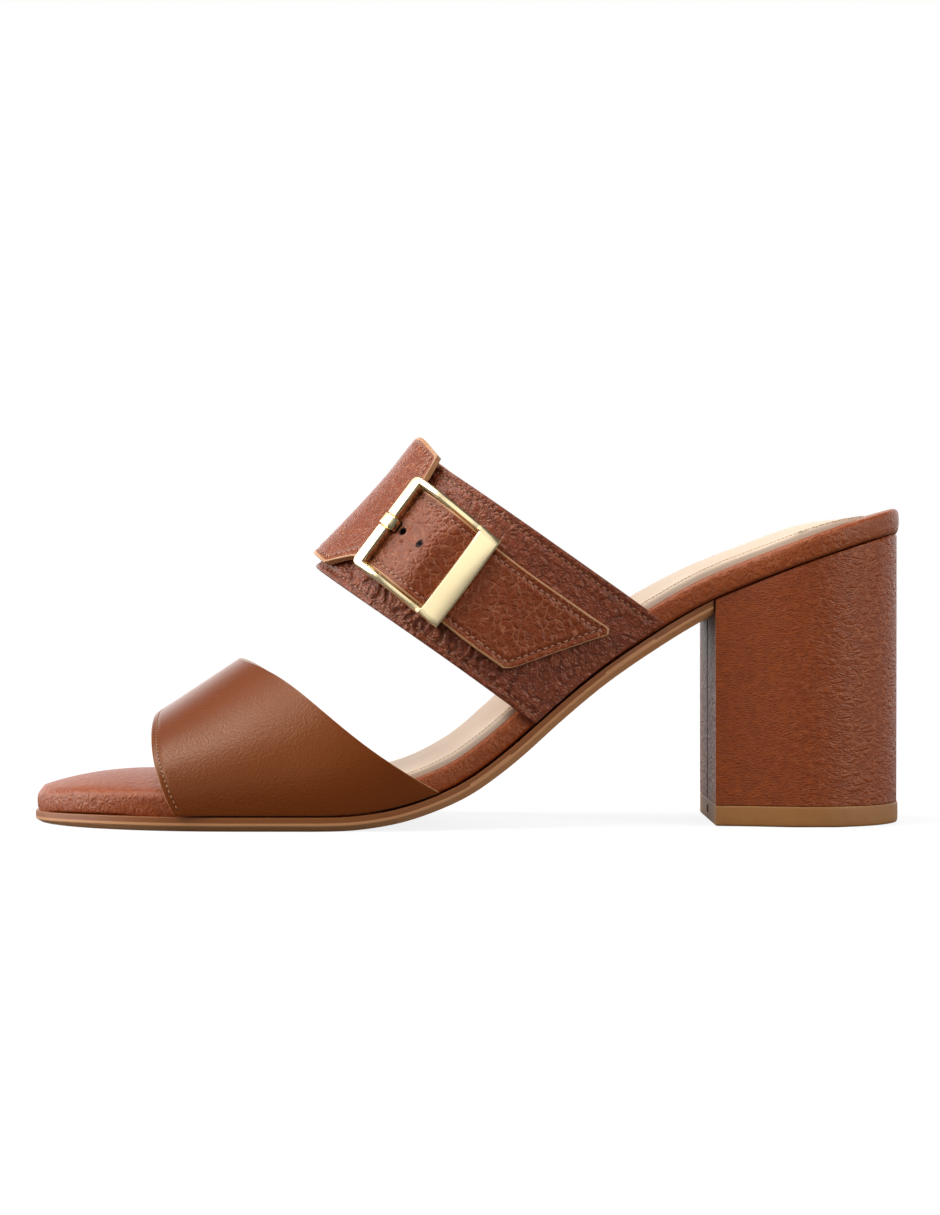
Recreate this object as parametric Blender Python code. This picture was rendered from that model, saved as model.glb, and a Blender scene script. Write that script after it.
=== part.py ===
"""A block-heeled mule sandal for the left foot, EU size 38.

Toe towards -X, heel towards +X, the outer side of the foot towards -Y, the floor at Z = 0.
Every size is in metres. The sole pieces are one plan outline bent along one side profile, and
the straps are patches of arches that stand on that outline and close over the foot.
"""

import math

import bmesh
import bpy
from mathutils import Matrix, Vector

MM = 0.001

# Driving sizes of the shoe
LENGTH = 232 * MM
BALL_WIDTH = 82 * MM
HEEL_RISE = 74 * MM
TOE_DROP = 0.8 * MM
TOE_ROUND = 56 * MM
TOE_SWING = 3 * MM
HEEL_ROUND = 24 * MM
GAP = 0.3 * MM

# Outsole
SOLE = 3.3 * MM
SOLE_BEVEL = 1.5 * MM
SOLE_LIP = 1.6 * MM
TOE_LIP = 0.4 * MM
WAIST_TUCK = 1.6 * MM
TUCK_LENGTH = 24 * MM

# Leather-wrapped footbed and its sock lining
FOOTBED = 6.5 * MM
FOOTBED_EDGE = 1.8 * MM
TOE_DOME = 4.2 * MM
DOME_RISE = 31 * MM
SOCK_EDGE = 1.0 * MM
SOCK_CROWN = 2.2 * MM
SOCK_MARGIN = 1.9 * MM
SOCK_FRONT = 62 * MM
SOCK_BACK = 9 * MM
SOCK_BACK_ROUND = 20 * MM
ARCH_LIFT = 3.4 * MM

# Heel block and its top piece
HEEL_LENGTH = 51 * MM
HEEL_TAPER = 0.3 * MM
HEEL_EDGE = 0.7 * MM
TOP_PIECE = 5.2 * MM

# Straps
STRAP_WALL = 1.8 * MM
SKIVED_WALL = 1.3 * MM
SKIVE_HEIGHT = 12 * MM
TONGUE_WIDTH = 24.2 * MM
HOLE_WIDTH = 1.9 * MM
HOLE_PITCH = 6.6 * MM
FIRST_HOLE = 4.6 * MM
STRAP_DRIFT = 2.4 * MM
DRIFT_LENGTH = 40 * MM
LOOSE_LIFT = 1.3 * MM
SAG = 0.4 * MM
EDGE_CURL = 0.9 * MM

# Buckle
FRAME_LENGTH = 28.6 * MM
FRAME_WIDTH = 28 * MM
END_BAR = 3.0 * MM
SIDE_BAR = 1.6 * MM
KEEPER = 5.8 * MM
BAR_HEIGHT = 1.8 * MM
SIDE_DIP = 1.2 * MM
PRONG_NOTCH = 0.6 * MM
CENTRE_BAR = 1.3 * MM
CENTRE_BAR_WIDTH = 2.0 * MM
PRONG_WIDTH = 3.0 * MM
PRONG = 0.9 * MM
FRAME_CORNER = 1.6 * MM

# Rows: share of LENGTH from the toe, outer and inner half widths as shares of BALL_WIDTH
OUTLINE = (
    ("toe", 0.000, 0.500, 0.494),
    ("toes", 0.241, 0.500, 0.494),
    ("ball", 0.328, 0.500, 0.490),
    ("behind ball", 0.379, 0.490, 0.466),
    ("tread end", 0.448, 0.457, 0.412),
    ("waist front", 0.522, 0.402, 0.352),
    ("waist", 0.586, 0.360, 0.312),
    ("arch", 0.651, 0.325, 0.298),
    ("waist back", 0.716, 0.292, 0.322),
    ("breast", 0.780, 0.285, 0.354),
    ("seat", 0.879, 0.341, 0.350),
    ("heel", 1.000, 0.341, 0.341),
)

# Rows: share of LENGTH from the toe, height over the tread as a share of HEEL_RISE
PROFILE = (
    ("toe", 0.000, 0.000),
    ("tread start", 0.112, 0.000),
    ("tread end", 0.358, 0.000),
    ("first rise", 0.420, 0.022),
    ("behind ball", 0.452, 0.052),
    ("waist front", 0.493, 0.105),
    ("waist", 0.545, 0.220),
    ("steepest", 0.600, 0.372),
    ("arch", 0.650, 0.500),
    ("waist back", 0.706, 0.618),
    ("before breast", 0.750, 0.702),
    ("breast", 0.780, 0.751),
    ("seat front", 0.839, 0.828),
    ("seat", 0.899, 0.899),
    ("heel back", 0.978, 0.977),
    ("heel", 1.000, 0.996),
)

# A strap's two edges. base and inner: where it meets the sole on its outer and its inner side, shares of
# LENGTH. crest_along and crest_up: its highest point, as shares of LENGTH and HEEL_RISE. ridge: how far that point lies towards the inner
# side, and bow: how far the edge bulges out of its plane, as shares of BALL_WIDTH. peak: 1 bulges most
# halfway up and more bulges higher. far: the inner side's share of the bow. square: 2 is an
# ellipse and more is squarer. swell: how far the sides stand out, a share of their half width.
TOE_STRAP = {
    "front": dict(base=0.182, inner=0.167, crest_along=0.146, crest_up=0.326, ridge=0.070, bow=-0.014, peak=1.0, far=1.0, square=2.45, swell=0.010),
    "back": dict(base=0.474, inner=0.416, crest_along=0.241, crest_up=0.524, ridge=0.070, bow=0.044, peak=2.3, far=0.2, square=2.15, swell=0.030),
}
INSTEP = {
    "front": dict(base=0.578, inner=0.584, crest_along=0.330, crest_up=0.859, ridge=0.040, bow=0.006, peak=1.0, far=1.0, square=1.90, swell=0.000),
    "back": dict(base=0.727, inner=0.731, crest_along=0.453, crest_up=1.267, ridge=0.040, bow=-0.001, peak=1.0, far=1.0, square=2.26, swell=0.090),
}
# The line across the instep from which the strap and the buckle are laid out, as shares of the way up
# the arch at the outer band's front and back edges.
BUCKLE_LINE = (0.825, 0.902)
# How far past the crest the outer band runs on, hidden, as an angle of the arch.
BAND_END = math.radians(112)


def smooth_curve(rows, column):
    """A function through a table's rows that never swings past them, with its slope."""
    xs = [row[1] for row in rows]
    ys = [row[column] for row in rows]
    steps = [(ys[i + 1] - ys[i]) / (xs[i + 1] - xs[i]) for i in range(len(xs) - 1)]
    slopes = [steps[0]]
    for before, after in zip(steps, steps[1:]):
        slopes.append(2 * before * after / (before + after) if before * after > 0 else 0.0)
    slopes.append(steps[-1])

    def value_and_slope(x):
        x = min(max(x, xs[0]), xs[-1])
        i = max(k for k in range(len(xs) - 1) if k == 0 or xs[k] <= x)
        span = xs[i + 1] - xs[i]
        t = (x - xs[i]) / span
        value = (
            ys[i] * (1 + 2 * t) * (1 - t) ** 2
            + span * slopes[i] * t * (1 - t) ** 2
            + ys[i + 1] * t * t * (3 - 2 * t)
            + span * slopes[i + 1] * t * t * (t - 1)
        )
        slope = (
            6 * t * (1 - t) * steps[i]
            + slopes[i] * (1 - t) * (1 - 3 * t)
            + slopes[i + 1] * t * (3 * t - 2)
        )
        return value, slope

    return value_and_slope


outer_share = smooth_curve(OUTLINE, 2)
inner_share = smooth_curve(OUTLINE, 3)
rise_share = smooth_curve(PROFILE, 2)
TOE = -LENGTH / 2
HEEL = LENGTH / 2
BREAST = HEEL - HEEL_LENGTH
DROP_LENGTH = PROFILE[1][1] * LENGTH


def along(x):
    """The share of LENGTH from the toe at x."""
    return (x - TOE) / LENGTH


def feather(x, up=0.0):
    """The height of the footbed's underside at x, or of a layer that lies up above it."""
    rise, slope = rise_share(along(x))
    drop = max(0.0, 1 - (x - TOE) / DROP_LENGTH)
    steep = slope * HEEL_RISE / LENGTH + 2 * drop * TOE_DROP / DROP_LENGTH
    return SOLE + GAP + rise * HEEL_RISE - TOE_DROP * drop**2 + up * math.hypot(1, steep)


def half_width(x, side):
    """The footbed's half width at x before its ends are rounded. side is -1 outer, 1 inner."""
    share = outer_share if side < 0 else inner_share
    return share(along(x))[0] * BALL_WIDTH


def swing(x):
    """How far the toe's middle lies towards the inner side."""
    return TOE_SWING * max(0.0, 1 - (x - TOE) / TOE_ROUND) ** 2


def smoothstep(t):
    t = min(max(t, 0.0), 1.0)
    return t * t * (3 - 2 * t)


def mix(a, b, t):
    return a + (b - a) * t


def stations(toe_steps, middle_steps, heel_steps):
    """Places along a sole piece: its rounded toe, its middle and its rounded heel end."""
    toe = [("toe", math.pi / 2 * i / toe_steps) for i in range(toe_steps)]
    middle = [("middle", i / middle_steps) for i in range(middle_steps + 1)]
    heel = [("heel", math.pi / 2 * (1 - i / heel_steps)) for i in range(1, heel_steps + 1)]
    return toe + middle + heel


def plan_point(station, side, start, end, grow, inset, toe_round, heel_round):
    """A point of a sole piece's plan: start and end are its ends, grow widens it beyond the footbed
    and inset draws the whole outline in."""
    zone, value = station
    toe_round = max(toe_round - inset, 0.0)
    heel_round = max(heel_round - inset, 0.0)
    start = start + (inset if toe_round else 0.0)
    end = end - (inset if heel_round else 0.0)
    closing = 1.0
    if zone == "toe":
        x = start + toe_round * (1 - math.cos(value))
        closing = math.sin(value)
    elif zone == "middle":
        x = mix(start + toe_round, end - heel_round, value)
    else:
        x = end - heel_round * (1 - math.cos(value))
        closing = math.sin(value)
    width = (half_width(x, side) + grow(x) - inset) * closing
    return x, swing(x) + side * width


def piece_material(name, colour, roughness, metallic=0.0):
    material = bpy.data.materials.new(name)
    material.use_nodes = True
    shader = material.node_tree.nodes["Principled BSDF"]
    shader.inputs["Base Color"].default_value = (*colour, 1.0)
    shader.inputs["Roughness"].default_value = roughness
    shader.inputs["Metallic"].default_value = metallic
    return material


def add_object(name, bm, material):
    """An object from a finished bmesh, merged where its ends close to a point, shaded smooth."""
    bmesh.ops.remove_doubles(bm, verts=bm.verts, dist=0.00001)
    bmesh.ops.recalc_face_normals(bm, faces=bm.faces)
    mesh = bpy.data.meshes.new(name)
    bm.to_mesh(mesh)
    bm.free()
    mesh.materials.append(material)
    mesh.shade_smooth()
    mesh.set_sharp_from_angle(angle=math.radians(40))
    obj = bpy.data.objects.new(name, mesh)
    bpy.context.scene.collection.objects.link(obj)
    obj.parent = sandal
    return obj


def loft(bm, loops, close_ends):
    """Faces between closed loops of equal length, with a face on each end where it is asked for."""
    rows = [[bm.verts.new(point) for point in loop] for loop in loops]
    count = len(rows[0])
    for low, high in zip(rows, rows[1:]):
        for i in range(count):
            j = (i + 1) % count
            bm.faces.new((low[i], low[j], high[j], high[i]))
    for row, wanted in zip((rows[0], rows[-1]), close_ends):
        if wanted:
            bm.faces.new(row)
    return rows


def sole_solid(name, material, places, plan, rows, across, capped):
    """A sole piece: at each station a closed section, through rows of (inset, height function) from
    the underside up, with its bottom and top divided across the foot."""
    loops = []
    for station in places:
        outer = [plan(station, -1, inset) for inset, _ in rows]
        inner = [plan(station, 1, inset) for inset, _ in rows]
        loop = []
        for k in range(across):
            t = k / across
            x = mix(inner[0][0], outer[0][0], t)
            y = mix(inner[0][1], outer[0][1], t)
            loop.append((x, y, rows[0][1](x, y)))
        loop += [(x, y, height(x, y)) for (x, y), (_, height) in zip(outer, rows)]
        for k in range(1, across):
            t = k / across
            x = mix(outer[-1][0], inner[-1][0], t)
            y = mix(outer[-1][1], inner[-1][1], t)
            loop.append((x, y, rows[-1][1](x, y)))
        side = [(x, y, height(x, y)) for (x, y), (_, height) in zip(inner, rows)]
        loop += side[:0:-1]
        loops.append(loop)
    bm = bmesh.new()
    loft(bm, loops, capped)
    return add_object(name, bm, material)


def make_outsole():
    def grow(x):
        tuck = smoothstep((x - (BREAST - TUCK_LENGTH)) / TUCK_LENGTH)
        return SOLE_LIP - (SOLE_LIP + WAIST_TUCK) * tuck

    def plan(station, side, inset):
        return plan_point(station, side, TOE, BREAST - GAP, grow, inset, TOE_ROUND, 0.0)

    rows = (
        (SOLE_BEVEL, lambda x, y: max(0.0, feather(x, -GAP - SOLE))),
        (0.0, lambda x, y: feather(x, -GAP - SOLE + SOLE_BEVEL)),
        (0.0, lambda x, y: feather(x, -GAP)),
    )
    places = [place for place in stations(8, 24, 1) if place[0] != "heel"]
    return sole_solid("outsole", tan_sole, places, plan, rows, 4, (False, True))


def footbed_plan(station, side, inset):
    return plan_point(
        station, side, TOE + TOE_LIP, HEEL, lambda x: 0.0, inset, TOE_ROUND - TOE_LIP, HEEL_ROUND
    )


def toe_dome(x, y):
    """How far the footbed's padded top is domed in front of the sock lining."""
    ahead = max(x - TOE, 0.01 * MM)
    closing = math.sin(math.acos(max(0.0, 1 - ahead / TOE_ROUND)))
    share = abs(y - swing(x)) / (half_width(x, -1 if y < swing(x) else 1) * closing)
    rise = min(1.0, math.sqrt(ahead / DOME_RISE))
    fall = 1 - smoothstep((ahead - 0.5 * SOCK_FRONT) / (0.46 * SOCK_FRONT))
    return TOE_DOME * rise * fall * max(0.0, 1 - share**2)


def make_footbed():
    rows = (
        (FOOTBED_EDGE * 0.4, lambda x, y: feather(x)),
        (0.0, lambda x, y: feather(x, FOOTBED_EDGE * 0.5)),
        (0.0, lambda x, y: feather(x, FOOTBED - FOOTBED_EDGE)),
        (FOOTBED_EDGE * 0.3, lambda x, y: feather(x, FOOTBED - FOOTBED_EDGE * 0.3)),
        (FOOTBED_EDGE, lambda x, y: feather(x, FOOTBED) + toe_dome(x, y)),
    )
    return sole_solid(
        "footbed", brown_wrap, stations(8, 26, 7), footbed_plan, rows, 8, (False, False)
    )


def make_sock_lining():
    start = TOE + SOCK_FRONT
    end = HEEL - SOCK_BACK

    def plan(station, side, inset):
        return plan_point(
            station, side, start, end, lambda x: -SOCK_MARGIN, inset, 0.0, SOCK_BACK_ROUND
        )

    def crown(x, y):
        """The padded top: domed across the foot, and higher under the arch on the inner side."""
        side = -1 if y < 0 else 1
        middle = 1 - min(1.0, abs(y) / half_width(x, side)) ** 2
        ends = smoothstep((x - start) / SOCK_FRONT) * smoothstep((end - x) / SOCK_BACK_ROUND)
        waist = math.exp(-(((along(x) - 0.555) / 0.15) ** 2))
        inner = smoothstep(0.5 + 0.5 * y / half_width(x, 1)) * ARCH_LIFT * waist
        return feather(x, FOOTBED + GAP + SOCK_EDGE + SOCK_CROWN * middle * ends + inner * ends)

    rows = (
        (0.0, lambda x, y: feather(x, FOOTBED + GAP)),
        (0.0, lambda x, y: feather(x, FOOTBED + GAP + SOCK_EDGE * 0.6)),
        (SOCK_EDGE * 0.5, crown),
    )
    places = [place for place in stations(1, 22, 6) if place[0] != "toe"]
    return sole_solid("sock_lining", cream_sock, places, plan, rows, 8, (True, False))


def heel_plan(station, side, inset):
    return plan_point(station, side, BREAST, HEEL - TOE_LIP, lambda x: -TOE_LIP, inset, 0.0, HEEL_ROUND)


def make_heel():
    foot = TOP_PIECE + GAP
    rows = (
        (HEEL_TAPER, lambda x, y: foot),
        (HEEL_EDGE * 0.3, lambda x, y: feather(x, -GAP - HEEL_EDGE)),
        (HEEL_EDGE, lambda x, y: feather(x, -GAP)),
    )
    places = [place for place in stations(1, 7, 8) if place[0] != "toe"]
    return sole_solid("heel", heel_leather, places, heel_plan, rows, 4, (True, False))


def make_top_piece():
    rows = (
        (HEEL_TAPER, lambda x, y: 0.0),
        (HEEL_TAPER - GAP, lambda x, y: HEEL_EDGE),
        (HEEL_TAPER - GAP, lambda x, y: TOP_PIECE),
    )
    places = [place for place in stations(1, 4, 8) if place[0] != "toe"]
    return sole_solid("top_piece", top_rubber, places, heel_plan, rows, 2, (True, False))


def strap_value(strap, key, t):
    return mix(strap["front"][key], strap["back"][key], t)


def strap_base(strap, t, turn=0.0):
    share = mix(strap_value(strap, "base", t), strap_value(strap, "inner", t), turn / math.pi)
    x = TOE + share * LENGTH
    return Vector((x, 0.0, feather(x)))


def strap_crest(strap, t):
    x = TOE + strap_value(strap, "crest_along", t) * LENGTH
    return Vector((x, 0.0, SOLE + strap_value(strap, "crest_up", t) * HEEL_RISE))


def arch_point(strap, t, turn):
    """A point of the strap's inner face: t from its front edge to its back edge, turn from 0 at the
    outer foot of the arch over the crest at pi / 2 to pi at its inner foot."""
    base = strap_base(strap, t, turn)
    crest = strap_crest(strap, t)
    reach = crest - base
    square = 2 / strap_value(strap, "square", t)
    up = max(math.sin(turn), 0.0) ** square
    aside = abs(math.cos(turn)) ** square
    side = -1 if turn < math.pi / 2 else 1
    behind = Vector((reach.z, 0.0, -reach.x)).normalized()
    point = base + reach * up
    bow = strap_value(strap, "bow", t) * (1.0 if side < 0 else strap_value(strap, "far", t))
    point += behind * bow * BALL_WIDTH * math.sin(math.pi * up ** strap_value(strap, "peak", t))
    half = half_width(point.x, side) + GAP
    swell = strap_value(strap, "swell", t) * math.sin(math.pi * up)
    point.y = swing(point.x) + side * half * (aside + swell)
    point.y += strap_value(strap, "ridge", t) * BALL_WIDTH * up**2
    return point


def lifted_point(strap, t, turn, lift):
    """A point that stands off the strap's inner face by lift, square to it."""
    small = 0.01
    turn = min(max(turn, small), math.pi - small)
    round_it = arch_point(strap, t, turn + small) - arch_point(strap, t, turn - small)
    over_it = arch_point(strap, t + small, turn) - arch_point(strap, t - small, turn)
    return arch_point(strap, t, turn) + over_it.cross(round_it).normalized() * lift


def wall_at(strap, t, turn):
    """The wall is skived thin where it goes down beside the footbed."""
    height = math.sin(turn) * (strap_crest(strap, t) - strap_base(strap, t)).length
    return mix(SKIVED_WALL, STRAP_WALL, smoothstep(height / SKIVE_HEIGHT))


def sheet_solid(name, material, outside, inside):
    """A closed wall from two grids of points, rows by columns, its outer and its inner face."""
    bm = bmesh.new()
    out = [[bm.verts.new(p) for p in row] for row in outside]
    back = [[bm.verts.new(p) for p in row] for row in inside]
    last_row = len(out) - 1
    last_column = len(out[0]) - 1
    for i in range(last_row):
        for j in range(last_column):
            bm.faces.new((out[i][j], out[i][j + 1], out[i + 1][j + 1], out[i + 1][j]))
            bm.faces.new((back[i][j], back[i + 1][j], back[i + 1][j + 1], back[i][j + 1]))
    for i in range(last_row):
        bm.faces.new((out[i][0], out[i + 1][0], back[i + 1][0], back[i][0]))
        bm.faces.new((out[i][last_column], back[i][last_column], back[i + 1][last_column], out[i + 1][last_column]))
    for j in range(last_column):
        bm.faces.new((out[0][j], back[0][j], back[0][j + 1], out[0][j + 1]))
        bm.faces.new((out[last_row][j], out[last_row][j + 1], back[last_row][j + 1], back[last_row][j]))
    return add_object(name, bm, material)


def make_toe_strap():
    turns = [math.pi * i / 30 for i in range(31)]
    across = [j / 8 for j in range(9)]
    outside = [
        [lifted_point(TOE_STRAP, t, turn, wall_at(TOE_STRAP, t, turn)) for t in across] for turn in turns
    ]
    inside = [[lifted_point(TOE_STRAP, t, turn, 0.0) for t in across] for turn in turns]
    return sheet_solid("toe_strap", smooth_tan, outside, inside)


def line_turn(t):
    """Where on the arch at t the buckle line lies."""
    square = 2 / strap_value(INSTEP, "square", t)
    return math.asin(min(mix(*BUCKLE_LINE, t), 0.999) ** (1 / square))


def width_on_line():
    """The outer band's width, measured over its face along the buckle line."""
    steps = [i / 8 for i in range(9)]
    points = [lifted_point(INSTEP, t, line_turn(t), STRAP_WALL) for t in steps]
    return sum((after - before).length for before, after in zip(points, points[1:]))


BAND_WIDTH = width_on_line()
LAYOUT_STEPS = 160
layouts = {}


def layout_line(t):
    """Distances down the arch at t from the buckle line, on the outer band's face, and their turns."""
    key = round(t, 5)
    if key not in layouts:
        turns = [math.pi * (0.003 + 0.994 * i / LAYOUT_STEPS) for i in range(LAYOUT_STEPS + 1)]
        points = [lifted_point(INSTEP, t, turn, STRAP_WALL) for turn in turns]
        lengths = [0.0]
        for a, b in zip(points, points[1:]):
            lengths.append(lengths[-1] + (b - a).length)
        at_line = interpolate(line_turn(t), turns, lengths)
        layouts[key] = turns, [at_line - length for length in lengths]
    return layouts[key]


def interpolate(x, xs, ys):
    """The value at x of a rising or falling table of xs."""
    if xs[0] > xs[-1]:
        xs, ys = xs[::-1], ys[::-1]
    x = min(max(x, xs[0]), xs[-1])
    i = max(k for k in range(len(xs) - 1) if k == 0 or xs[k] <= x)
    return mix(ys[i], ys[i + 1], (x - xs[i]) / (xs[i + 1] - xs[i]))


def down_at(t, turn):
    turns, downs = layout_line(t)
    return interpolate(turn, turns, downs)


def instep_point(down, across, lift):
    """A point over the outer band's face: down from the buckle line towards the sole on the outer
    side, across from the band's middle towards the heel, and lift above that face."""
    across -= STRAP_DRIFT * smoothstep(down / DRIFT_LENGTH)
    t = 0.5 + across / BAND_WIDTH
    turns, downs = layout_line(t)
    turn = interpolate(down, downs, turns)
    return lifted_point(INSTEP, t, turn, STRAP_WALL + lift)


def make_outer_band():
    outside = []
    inside = []
    rows = 24
    for i in range(rows + 1):
        turn = BAND_END * i / rows
        across = [j / 8 for j in range(9)]
        outside.append([lifted_point(INSTEP, t, turn, wall_at(INSTEP, t, turn)) for t in across])
        inside.append([lifted_point(INSTEP, t, turn, 0.0) for t in across])
    return sheet_solid("outer_band", dark_pebbled, outside, inside)


# The layers over the outer band at the buckle
REST_LIFT = GAP
PRONG_ROOM = PRONG + 2 * GAP
OVER_BAR = CENTRE_BAR + 2 * GAP
UNDER_END_BAR = PRONG_ROOM
TONGUE_HALF = TONGUE_WIDTH / 2
END_BAR_DOWN = 0.0
KEEPER_DOWN = FRAME_LENGTH - END_BAR / 2 - KEEPER / 2
CENTRE_DOWN = KEEPER_DOWN * 0.60
PRONG_HOLE_DOWN = END_BAR / 2 + GAP + PRONG / 2


def strap_curl(down, t):
    """How the strap's raw edge curls up at the back of the ridge, and how it sags before it."""
    over = smoothstep(-down / (5 * MM)) * (1 - smoothstep((-down - 20 * MM) / (25 * MM)))
    sag = SAG * math.sin(math.pi * min(1.0, max(0.0, t) / 0.85))
    return over * (EDGE_CURL * smoothstep((t - 0.8) / 0.2) - sag)


def strap_lift(down, t):
    """How high the buckle strap's underside runs over the outer band's face."""
    slope = 6 * MM
    steps = (
        (KEEPER_DOWN - KEEPER / 2, REST_LIFT),
        (CENTRE_DOWN + CENTRE_BAR_WIDTH, OVER_BAR),
        (CENTRE_DOWN - CENTRE_BAR_WIDTH, OVER_BAR),
        (END_BAR / 2, UNDER_END_BAR),
        (-END_BAR / 2, UNDER_END_BAR),
        (-END_BAR / 2 - slope, LOOSE_LIFT),
    )
    end = down_at(t, BAND_END)
    steps += ((end - 2 * STRAP_WALL, LOOSE_LIFT), (end - 2 * STRAP_WALL - 2 * slope, -STRAP_WALL))
    downs = [step[0] for step in steps]
    i = sum(1 for place in downs if place > down)
    if i == 0:
        return REST_LIFT
    if i == len(steps):
        return -STRAP_WALL
    t_step = smoothstep((downs[i - 1] - down) / (downs[i - 1] - downs[i]))
    return mix(steps[i - 1][1], steps[i][1], t_step)


# Rows of the buckle strap's pattern, from its tip over the instep. down is from the buckle line towards
# the sole, as shares of FRAME_LENGTH. Its edges, front and back, are shares of half the tongue's width
# up to the shoulders, and of half the band's width beyond them, from the line in the middle of each.
STRAP_PATTERN = (
    ("tip", 1.682, -0.90, 2.196, 0.875, "tongue"),
    ("tip corners", 1.622, -1.00, 2.168, 1.00, "tongue"),
    ("below keeper", 1.050, -1.00, 1.100, 1.00, "tongue"),
    ("keeper", 0.860, -1.00, 0.860, 1.00, "tongue"),
    ("shoulders", -0.154, -1.00, 0.000, 1.00, "tongue"),
    ("corners", -0.460, -0.89, -0.045, 1.06, "band"),
)
FRONT_SET_IN = 2.3 * MM
BACK_SET_OUT = 1.2 * MM
BACK_FLARE = 1.8 * MM


def strap_rows():
    """The pattern's rows, each as its front and back end, then those over the instep to the sole."""
    rows = []
    for _, front_down, front, back_down, back, kind in STRAP_PATTERN:
        half = TONGUE_HALF if kind == "tongue" else BAND_WIDTH / 2
        rows.append(
            ((front_down * FRAME_LENGTH, front * half), (back_down * FRAME_LENGTH, back * half))
        )
    filled = [rows[0]]
    for (f0, b0), (f1, b1) in zip(rows, rows[1:]):
        steps = max(1, round(max(abs(f1[0] - f0[0]), abs(b1[0] - b0[0])) / (3.4 * MM)))
        for k in range(1, steps + 1):
            t = k / steps
            filled.append((
                (mix(f0[0], f1[0], t), mix(f0[1], f1[1], t)),
                (mix(b0[0], b1[0], t), mix(b0[1], b1[1], t)),
            ))
    front = -BAND_WIDTH / 2 + FRONT_SET_IN
    back = BAND_WIDTH / 2 + BACK_SET_OUT
    front_foot = down_at(0.5 + front / BAND_WIDTH, math.pi)
    back_foot = down_at(0.5 + back / BAND_WIDTH, math.pi)
    (front_down, _), (back_down, _) = filled[-1]
    over = 26
    for k in range(1, over + 1):
        t = k / over
        flared = back + BACK_FLARE * math.exp(-(((t - 0.10) / 0.07) ** 2))
        filled.append(((mix(front_down, front_foot, t), front), (mix(back_down, back_foot, t), flared)))
    return filled


def inner_wall(t, down):
    """The strap's wall, skived where it ends beside the footbed on the inner side."""
    turns, downs = layout_line(t)
    turn = interpolate(down, downs, turns)
    return wall_at(INSTEP, t, turn) if turn > math.pi / 2 else STRAP_WALL


def make_buckle_strap():
    outside = []
    inside = []
    for (front_down, front), (back_down, back) in strap_rows():
        out_row = []
        in_row = []
        for j in range(9):
            down = mix(front_down, back_down, j / 8)
            across = mix(front, back, j / 8)
            t = 0.5 + across / BAND_WIDTH
            lift = strap_lift(down, t) + strap_curl(down, t)
            in_row.append(instep_point(down, across, lift))
            out_row.append(instep_point(down, across, lift + inner_wall(t, down)))
        outside.append(out_row)
        inside.append(in_row)
    strap = sheet_solid("buckle_strap", pebbled_brown, outside, inside)
    cut(strap, punch("prong_slot", PRONG_HOLE_DOWN, PRONG_WIDTH + 2 * GAP, PRONG + 2 * GAP, 4))
    for k in range(2):
        cut(strap, punch(f"hole_{k}", FIRST_HOLE + k * HOLE_PITCH, HOLE_WIDTH, HOLE_WIDTH, 12))
    return strap


def punch(name, down, width, length, corners):
    """A cutter square to the strap, round or with four corners, width across it and length along it."""
    middle = instep_point(down, 0.0, 0.0)
    up = (instep_point(down, 0.0, MM) - middle).normalized()
    ahead = (instep_point(down + MM, 0.0, 0.0) - middle).normalized()
    bm = bmesh.new()
    bmesh.ops.create_circle(bm, cap_ends=True, segments=corners, radius=0.5 / math.cos(math.pi / corners))
    half_step = Matrix.Rotation(math.pi / corners, 4, "Z")
    bmesh.ops.transform(bm, matrix=half_step, verts=bm.verts)
    bmesh.ops.scale(bm, vec=(length, width, 1.0), verts=bm.verts)
    bmesh.ops.translate(bm, vec=(0.0, 0.0, -2 * STRAP_WALL), verts=bm.verts)
    raised = bmesh.ops.extrude_face_region(bm, geom=bm.faces[:])
    top = [item for item in raised["geom"] if isinstance(item, bmesh.types.BMVert)]
    bmesh.ops.translate(bm, vec=(0.0, 0.0, 6 * STRAP_WALL), verts=top)
    bmesh.ops.transform(bm, matrix=frame_of(ahead, up, middle), verts=bm.verts)
    cutter = add_object(name, bm, pebbled_brown)
    cutter.hide_render = True
    cutter.display_type = "WIRE"
    return cutter


def frame_of(ahead, up, middle):
    """A matrix whose x runs ahead and whose z runs up, at middle."""
    aside = up.cross(ahead).normalized()
    ahead = aside.cross(up)
    turned = Matrix((ahead, aside, up)).transposed().to_4x4()
    return Matrix.Translation(middle) @ turned


def cut(obj, cutter, operation="DIFFERENCE"):
    modifier = obj.modifiers.new(operation.lower(), "BOOLEAN")
    modifier.operation = operation
    modifier.object = cutter


def frame_levels():
    """Underside and top of the frame's end bar and of its keeper, over the outer band's face."""
    end_low = UNDER_END_BAR + STRAP_WALL + GAP
    keeper_low = REST_LIFT + STRAP_WALL + GAP
    return end_low, end_low + BAR_HEIGHT, keeper_low, keeper_low + BAR_HEIGHT


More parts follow.
